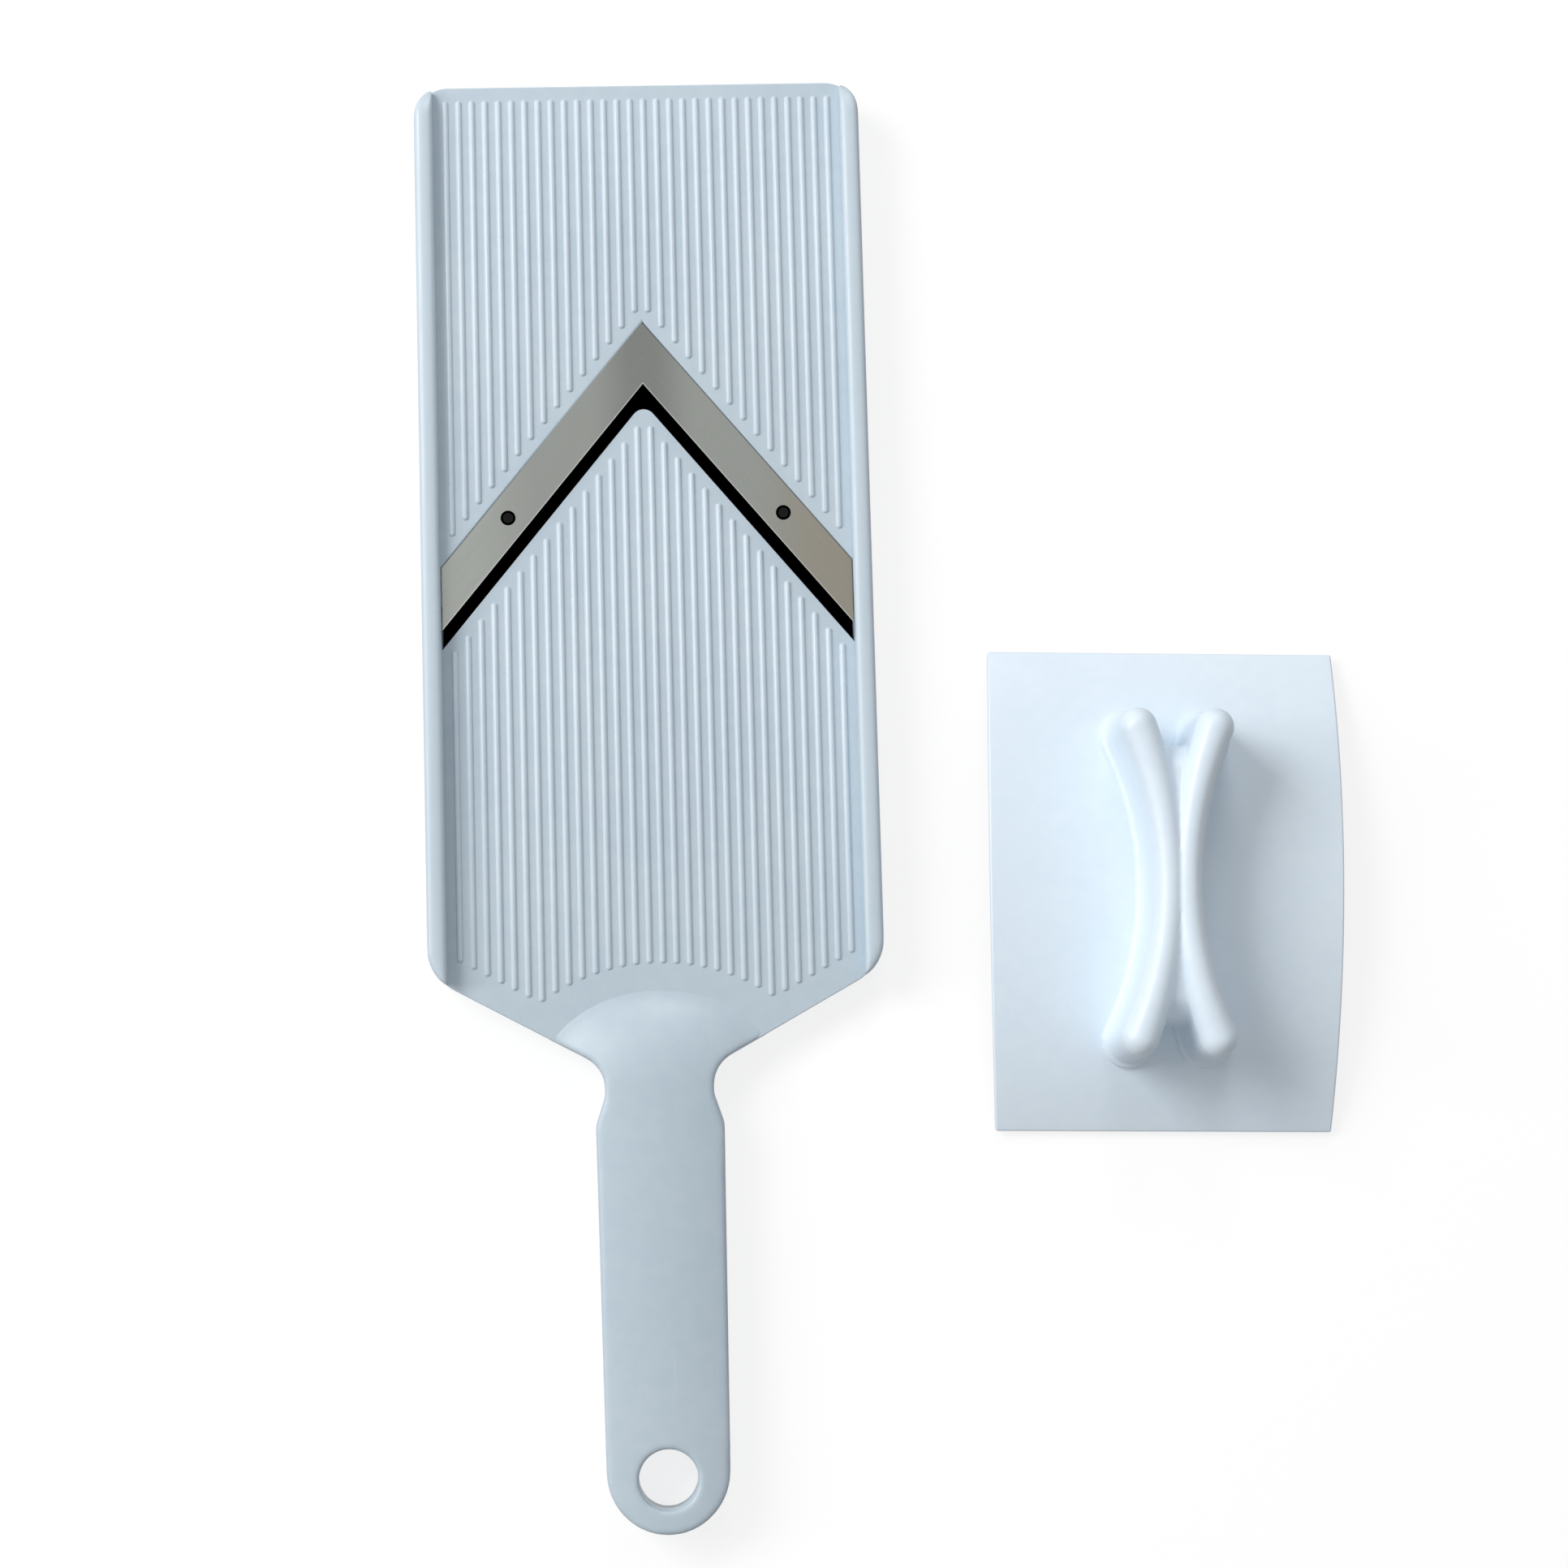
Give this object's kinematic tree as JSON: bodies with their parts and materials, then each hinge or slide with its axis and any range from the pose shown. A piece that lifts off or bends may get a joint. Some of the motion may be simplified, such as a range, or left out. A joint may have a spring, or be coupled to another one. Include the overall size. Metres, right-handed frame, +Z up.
{
  "type": "cabbage grater",
  "caption": "Flat plastic cabbage grater with a V-shaped steel blade, ribbed plates, side rails and a handle with a hanging hole, and a loose arched hand guard with an X-shaped grip.",
  "frame": {"origin": "centre of the hanging hole, on the table that the grater lies on", "axes": "+Y from the handle to the far edge of the board, +X to the guard's side, +Z up"},
  "size_m": [0.2551, 0.4031, 0.0385],
  "materials": {
    "board_plastic": "satin",
    "guard_plastic": "gloss",
    "blade_steel": "brushed",
    "dark_steel": "matt black",
    "plain_steel": "zinc plated"
  },
  "bodies": {
    "grater": {"board": "board_plastic", "v_blade": "blade_steel", "blade_rivets": "dark_steel", "rivet_washers": "plain_steel"},
    "guard": {"guard_plate": "guard_plastic", "guard_grip": "guard_plastic", "grip_screws": "plain_steel"}
  },
  "joints": [
    {"name": "guard_carry", "type": "slide", "parent": "grater", "child": "guard", "axis": [-0.7943, 0.2926, 0.5325], "range_m": [0, 0.1784]}
  ]
}
